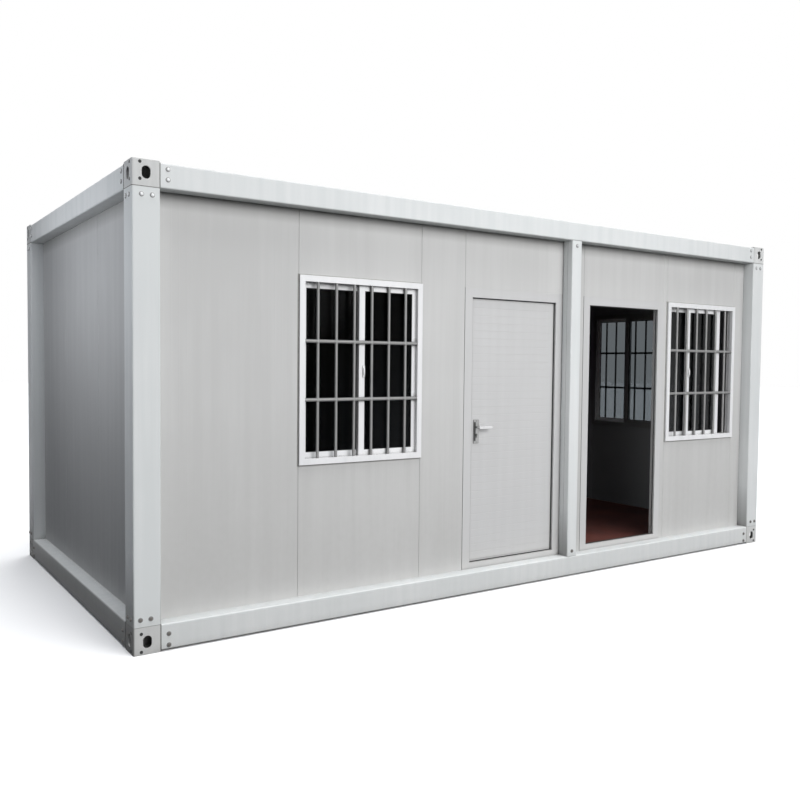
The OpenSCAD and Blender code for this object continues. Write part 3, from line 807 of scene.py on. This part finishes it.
for name, side in WINDOWS.items():
    front_low = panes(name + "_window_glass", side)[0][0]
    sash_front = seen_box(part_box(name + "_window_sashes"), side)[0].y
    seat = Vector((front_low.x + GLASS_SEAT - LATCH_SIZE.x / 2, sash_front, LATCH_HEIGHT))
    half = Vector((LATCH_SIZE.x / 2, 0, LATCH_SIZE.z / 2))
    latch = bmesh.new()
    slab(latch, seat - half - Vector((0, LATCH_SIZE.y, 0)), seat + half, LATCH_EDGE)
    slab(latch, seat - PULL_HALF - PULL_FRONT, seat + PULL_HALF - PULL_BACK, PULL_EDGE)
    piece(name + "_window_latch", latch, window_paint, place=side_place(side))

    low, high = seen_box(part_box(name + "_window_frame"), side)
    grow = Vector((BEAD_WIDTH, 0, BEAD_WIDTH))
    low, high = low - grow, high + grow
    low.y = wall_face - BEAD_DEPTH
    bead = bmesh.new()
    border(bead, low, high, BEAD_WIDTH, BEAD_DEPTH)
    middle, half = (low + high) / 2, (high - low) / 2
    outer = [e for e in bead.edges if all(abs(v.co.y - low.y) < NEAR_ENOUGH for v in e.verts)
             and (all(abs(v.co.x - middle.x) > half.x - NEAR_ENOUGH for v in e.verts)
                  or all(abs(v.co.z - middle.z) > half.z - NEAR_ENOUGH for v in e.verts))]
    round_off(bead, outer, BEAD_ROUND, segments=3)
    piece(name + "_window_sealant", bead, silicone, place=side_place(side))

# %% [markdown]
# The frame is held together by bolts that go in where it is set up: two in each beam and two in
# each post, beside every corner fitting. Each is a hex head on a round washer of duller, darker
# zinc, whose dark ring also stands in for the shade round the head. The head starts as a
# six-sided prism, its top edges are bevelled as on a forged bolt, and the washer is turned on the
# lathe. The middle post has one bolt at its foot and one at its head.

# %% Frame bolts
WASHER_RADIUS = 0.0145
WASHER_THICK = 0.0025
WASHER_RIM = 0.6
WASHER_CHAMFER = 0.001
HEAD_RADIUS = 0.0105
HEAD_HEIGHT = 0.0055
HEAD_CHAMFER = 0.002
BEAM_BOLT_X = 0.205
TOP_BEAM_BOLTS = (2.760, 2.701)
BOTTOM_BEAM_BOLTS = (0.099, 0.034)
TOP_POST_BOLTS = ((0.054, 2.605), (0.115, 2.605))
BOTTOM_POST_BOLTS = ((0.040, 0.203), (0.100, 0.203))
MIDDLE_BOLT_INSET = 0.040

bolt_bm = bmesh.new()
half_way = WASHER_THICK + HEAD_HEIGHT / 2
bmesh.ops.create_cone(bolt_bm, cap_ends=True, segments=6, radius1=HEAD_RADIUS, radius2=HEAD_RADIUS,
                      depth=HEAD_HEIGHT, matrix=Matrix.Translation((0, 0, half_way)))
round_off(bolt_bm, [e for e in bolt_bm.edges if all(v.co.z > half_way for v in e.verts)], HEAD_CHAMFER)
bolt = shape_mesh("frame_bolt", bolt_bm)
washer_outline = [(0, 0), (WASHER_RADIUS, 0), (WASHER_RADIUS, WASHER_THICK * WASHER_RIM),
                  (WASHER_RADIUS - WASHER_CHAMFER, WASHER_THICK), (0, WASHER_THICK)]
washer = lathe_shape("bolt_washer", washer_outline, steps=20)
# A bolt is made standing on z; this lays it on a side's face, with its head outwards
LAID_DOWN = Matrix.Rotation(math.pi / 2, 4, "X")

near_bolts = [(BEAM_BOLT_X, z) for z in TOP_BEAM_BOLTS + BOTTOM_BEAM_BOLTS]
near_bolts += TOP_POST_BOLTS + BOTTOM_POST_BOLTS
for side in SIDES:
    spots = near_bolts + [(side_length(side) - x, z) for x, z in near_bolts]
    if side == "front":
        low, high = seen_box(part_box("middle_post"), "front")
        middle = (low.x + high.x) / 2
        spots = spots + [(middle, low.z + MIDDLE_BOLT_INSET), (middle, high.z - MIDDLE_BOLT_INSET)]
    places = [Matrix.Translation((x, 0, z)) @ LAID_DOWN for x, z in spots]
    # The washers take the darker zinc of the bars, which also stands in for the shade round each head.
    for name, shape, finish in (("bolts", bolt, plated), ("washers", washer, bar_zinc)):
        stamped = bmesh.new()
        stamp(stamped, shape, places)
        piece("%s_frame_%s" % (side, name), stamped, finish, place=side_place(side))

# %% [markdown]
# Where a post or a beam meets a corner fitting, a strip of joint rubber keeps the rain out. It
# shows as a thin dark line, which also stands in for the shade in the joint. A plate a hair larger
# than the post lies in the joint, so only its rim comes out. The fittings also have small drain
# holes near their edges. They are not cut: each is a black cup with a rim, its black painted as
# the shade in the hole.

# %% Corner joints and drain holes
JOINT_THICK = {"bottom": 0.0015, "top": 0.004}
SIDE_JOINT = 0.0010
JOINT_PROUD = 0.0006
POST_WIDTH = 0.160
FOLD_RADIUS = 0.009
HOLE_RADIUS = 0.0075
RIM_RADIUS = HOLE_RADIUS + 0.0022
CUP_FLOOR, CUP_TOP, CUP_ROOT = 0.0002, 0.0008, -0.001
HOLE_X = 0.045
HOLE_HEIGHTS = (2.784, 2.690, 0.122, 0.018)

post_low, post_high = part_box("corner_posts")
joint_heights = {"bottom": post_low.z, "top": post_high.z}
joints = bmesh.new()
for side in SIDES:
    plates = bmesh.new()
    for level, z in joint_heights.items():
        half = JOINT_THICK[level] / 2
        slab(plates, Vector((-JOINT_PROUD, -JOINT_PROUD, z - half)),
             Vector((POST_WIDTH + JOINT_PROUD, POST_WIDTH + JOINT_PROUD, z + half)))
    uprights = [e for e in plates.edges if abs(e.verts[0].co.z - e.verts[1].co.z) > SIDE_JOINT]
    round_off(plates, uprights, FOLD_RADIUS, segments=4)
    for level in ("top", "bottom"):
        low, high = seen_box(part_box("%s_beam_%s" % (level, side)), side)
        for x in (low.x, high.x):
            slab(plates, Vector((x - SIDE_JOINT / 2, -JOINT_PROUD, low.z - JOINT_PROUD)),
                 Vector((x + SIDE_JOINT / 2, POST_WIDTH, high.z + JOINT_PROUD)))
    stamp(joints, shape_mesh("joint_plates", plates), [side_place(side)])
# The grey strips also stand in for the shade in the joints.
piece("corner_joint_strips", joints, seam_rubber)

cup_outline = [(0, CUP_FLOOR), (HOLE_RADIUS, CUP_FLOOR), (HOLE_RADIUS, CUP_TOP), (RIM_RADIUS, CUP_TOP),
               (RIM_RADIUS, CUP_ROOT), (0, CUP_ROOT)]
cup = lathe_shape("drain_cup", cup_outline, steps=18)
# A black cup stands for each drain hole; its black is painted shade.
cups = bmesh.new()
near_holes = [(HOLE_X, z) for z in HOLE_HEIGHTS]
for side in SIDES:
    spots = near_holes + [(side_length(side) - x, z) for x, z in near_holes]
    stamp(cups, cup, [side_place(side) @ Matrix.Translation((x, 0, z)) @ LAID_DOWN for x, z in spots])
piece("corner_drain_holes", cups, rubber)

# %% [markdown]
# A door leaf has its own view: u from the hinge edge to the lock edge, v outwards from the outer
# face, and z up. The left door is shut, so its u runs to the left. The right door stands open into
# the room, so its u runs to the back. What is screwed to the frame keeps the closed view. With
# these matrices one set of pieces serves both doors.

# %% Door views
LEAF_THICK = 0.040


def view_matrix(origin, along, outwards):
    """The matrix from u, v and z to the frame of the house."""
    columns = Matrix((along, outwards, (0, 0, 1))).transposed().to_4x4()
    return Matrix.Translation(origin) @ columns


left_low, left_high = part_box("left_door_leaf")
right_low, right_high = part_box("right_door_leaf")
leaf_width = left_high.x - left_low.x
leaf_foot, leaf_head = left_low.z, left_high.z
outer_y = left_low.y
pivots = {joint["name"]: Vector(joint["pos_m"]) for joint in frame["joints"]}
hinge_gap = pivots["left_door_hinge"].x - left_high.x
right_hinge_edge = pivots["right_door_hinge"].x + hinge_gap
leaf_views = {
    "left": view_matrix((left_high.x, outer_y, 0), (-1, 0, 0), (0, -1, 0)),
    "right": view_matrix((right_high.x, right_low.y, 0), (0, 1, 0), (1, 0, 0)),
}
jamb_views = {
    "left": leaf_views["left"],
    "right": view_matrix((right_hinge_edge, outer_y, 0), (1, 0, 0), (0, -1, 0)),
}
print("door leaves are", round(leaf_width, 3), "m wide")

# %% [markdown]
# Each face of a leaf is a thin pressed skin with level grooves, one every few centimetres. The
# skin is one slab whose face is cut into strips, and each strip is inset and raised a little, so
# that a shallow groove stays between neighbours. Bump could fake the lines, but real grooves also
# hold when the door is seen from close by.

# %% Door skins
SKIN_MARGIN = 0.026
SKIN_BASE = 0.0006
SKIN_SHARP = 2
GROOVE_PITCH = 0.056
GROOVE_SLOPE = 0.002
GROOVE_DEPTH = 0.0005


def door_skin(v_face, outwards):
    """A pressed skin on one face of a leaf, as a working mesh in the leaf's view."""
    bm = bmesh.new()
    rows = round((leaf_head - leaf_foot - 2 * SKIN_MARGIN) / GROOVE_PITCH)
    front_v = v_face + outwards * SKIN_BASE
    slab(bm, Vector((SKIN_MARGIN, min(v_face, front_v), leaf_foot + SKIN_MARGIN)),
         Vector((leaf_width - SKIN_MARGIN, max(v_face, front_v), leaf_head - SKIN_MARGIN)))
    uprights = [e for e in bm.edges if abs(e.verts[0].co.z - e.verts[1].co.z) > GROOVE_PITCH
                and all(abs(v.co.y - front_v) < NEAR_ENOUGH for v in e.verts)]
    bmesh.ops.subdivide_edges(bm, edges=uprights, cuts=rows - 1, use_grid_fill=True)
    bmesh.ops.recalc_face_normals(bm, faces=bm.faces)
    strips = [f for f in bm.faces if all(abs(v.co.y - front_v) < NEAR_ENOUGH for v in f.verts)]
    bmesh.ops.inset_individual(bm, faces=strips, thickness=GROOVE_SLOPE, depth=GROOVE_DEPTH,
                               use_even_offset=True)
    return bm


for name, view in leaf_views.items():
    for face, v, outwards in (("outer", 0, 1), ("inner", -LEAF_THICK, -1)):
        skin = door_skin(v, outwards)
        piece("%s_door_%s_skin" % (name, face), skin, door_paint, name + "_door", view,
              SKIN_SHARP)

# %% [markdown]
# A black rubber seal runs round the stop that the leaf shuts against. Its lip comes out a little
# past the stop, so the joint round the closed door shows as a dark line: the black lip also stands
# in for the shade in that joint. The seal is a border that rides on the house.

# %% Door seals
# The lip's width also sets the dark line round the door, which stands in partly for the shade in the joint.
SEAL_LIP = 0.013
SEAL_RUBBER = 0.024
LEAF_GAP = 0.006
SEAL_CLEAR = 0.001
THRESHOLD_TOP = 0.205
DOOR_FACE = 0.070

leaf_y = outer_y + house_size.y / 2
for name in leaf_views:
    low, high = seen_box(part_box(name + "_door_frame"), "front")
    seal_low = Vector((low.x + DOOR_FACE + SEAL_LIP - SEAL_RUBBER, leaf_y - LEAF_GAP,
                       THRESHOLD_TOP + SEAL_LIP - SEAL_RUBBER))
    seal_high = Vector((high.x - DOOR_FACE - SEAL_LIP + SEAL_RUBBER, leaf_y - SEAL_CLEAR,
                        high.z - DOOR_FACE - SEAL_LIP + SEAL_RUBBER))
    seal = bmesh.new()
    border(seal, seal_low, seal_high, SEAL_RUBBER, LEAF_GAP - SEAL_CLEAR)
    piece(name + "_door_seal", seal, rubber, place=side_place("front"))

# %% [markdown]
# Under each lever sits a lock cylinder with its key slot, and two screws hold the handle plate.
# They are turned and stamped like the bolts. A black inlay runs along the plate, and the slot of a
# screw or a key is a thin black slab that stands for the shade in the slot, so these pieces come in
# two finishes: nickel and black.

# %% Locks and plate screws
SPINDLE_U = leaf_width - (pivots["left_lever_turn"].x - left_low.x)
LEVER_Z = pivots["left_lever_turn"].z
PLATE_THICK = 0.008
PLATE_MIDDLE = LEVER_Z - 0.032
PLATE_SCREW = 0.078
SCREW_OUTLINE = [(0, 0.0012), (0.0028, 0.001), (0.0038, 0.0), (0, -0.0004)]
LOCK_Z = LEVER_Z - 0.056
LOCK_RADIUS = 0.0085
LOCK_HEIGHT = 0.004
LOCK_CHAMFER = 0.001
STEM_LOW, STEM_HIGH = Vector((-0.005, -0.022, 0)), Vector((0.005, -0.004, 0.003))
# The black of the slot slabs is painted shade in the slots.
# Dark slabs, from their lowest to their highest corner: across, out from the plate, and up
KEY_SLOT = ((-0.0008, 0.003, -0.0055), (0.0008, 0.0043, 0.0045))
SCREW_SLOT = ((-0.0025, 0.0006, -0.0004), (0.0025, 0.0014, 0.0004))
INLAY = ((0.007, 0.0, -0.070), (0.023, 0.0006, 0.070))

screw = lathe_shape("screw_head", SCREW_OUTLINE, steps=14)
cylinder_bm = bmesh.new()
turned(cylinder_bm, [(0, LOCK_HEIGHT), (LOCK_RADIUS - LOCK_CHAMFER, LOCK_HEIGHT),
                     (LOCK_RADIUS, LOCK_HEIGHT - LOCK_CHAMFER), (LOCK_RADIUS, 0), (0, 0)])
slab(cylinder_bm, STEM_LOW, STEM_HIGH, LOCK_CHAMFER)
cylinder = shape_mesh("lock_cylinder", cylinder_bm)
HALF_TURN = Matrix.Rotation(math.pi, 4, "Z")


def plate_slab(bm, corners, face, outwards, z):
    """A slab on the face of a handle plate, at a height."""
    low, high = [Vector((SPINDLE_U + u, face + outwards * v, z + rise)) for u, v, rise in corners]
    slab(bm, low, high)


for name, view in leaf_views.items():
    metal_bm, dark_bm = bmesh.new(), bmesh.new()
    for face, outwards in ((PLATE_THICK, 1), (-LEAF_THICK - PLATE_THICK, -1)):
        lay = Matrix.Rotation(-outwards * math.pi / 2, 4, "X")
        if outwards < 0:
            lay = lay @ HALF_TURN
        stamp(metal_bm, cylinder, [Matrix.Translation((SPINDLE_U, face, LOCK_Z)) @ lay @ HALF_TURN])
        plate_slab(dark_bm, KEY_SLOT, face, outwards, LOCK_Z)
        for z in (PLATE_MIDDLE - PLATE_SCREW, PLATE_MIDDLE + PLATE_SCREW):
            stamp(metal_bm, screw, [Matrix.Translation((SPINDLE_U, face, z)) @ lay])
            plate_slab(dark_bm, SCREW_SLOT, face, outwards, z)
        plate_slab(dark_bm, INLAY, face, outwards, PLATE_MIDDLE)
    piece(name + "_door_lock", metal_bm, lock_steel, name + "_door", view)
    piece(name + "_door_lock_slots", dark_bm, rubber, name + "_door", view)

# %% [markdown]
# The hinges are screwed on with four countersunk screws a plate, two above and two below the
# middle. The plates on the leaf move with the door, and those on the frame stay with the house.

# %% Hinge screws
HINGES = 3
HINGE_PLATE = 0.003
SCREW_NEAR, SCREW_FAR = 0.0205, 0.0385
SCREW_RISE = 0.040

hinge_heights = [leaf_foot + (leaf_head - leaf_foot) * (k + 0.5) / HINGES for k in range(HINGES)]
for name in leaf_views:
    for body, view, sign, suffix in ((name + "_door", leaf_views[name], 1, "leaf"),
                                     ("house", jamb_views[name], -1, "frame")):
        screws = bmesh.new()
        for z in hinge_heights:
            for shift, rise in ((SCREW_NEAR, SCREW_RISE), (SCREW_FAR, SCREW_RISE / 3),
                                (SCREW_NEAR, -SCREW_RISE), (SCREW_FAR, -SCREW_RISE / 3)):
                spot = Matrix.Translation((sign * shift - hinge_gap, -LEAF_THICK - HINGE_PLATE, z + rise))
                stamp(screws, screw, [spot @ LAID_DOWN])
        piece("%s_door_%s_screws" % (name, suffix), screws, plated, body, view)

# %% [markdown]
# The roof sheet is held down by self-drilling screws with sealing washers, one on every rib over
# every purlin. There are about ninety, so each has only a few faces.

# %% Roof screws
ROOF_RIB_PITCH = 0.250
PURLINS = 4
ROOF_SCREW = [(0, 0), (0.008, 0), (0.0075, 0.0018), (0.0045, 0.0025), (0.0045, 0.006), (0, 0.0065)]
roof_low, roof_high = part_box("roof_sheet")
rib_count = int((roof_high.x - roof_low.x) / ROOF_RIB_PITCH)
run = house_size.y - 2 * POST_WIDTH
spots = []
for i in range(rib_count):
    for k in range(PURLINS):
        x = (i + 0.5 - rib_count / 2) * ROOF_RIB_PITCH
        y = -run / 2 + (k + 0.5) * run / PURLINS
        spots.append(Matrix.Translation((x, y, roof_high.z)))
roof_screws = bmesh.new()
stamp(roof_screws, lathe_shape("roof_screw", ROOF_SCREW, steps=8), spots)
piece("roof_screws", roof_screws, plated)
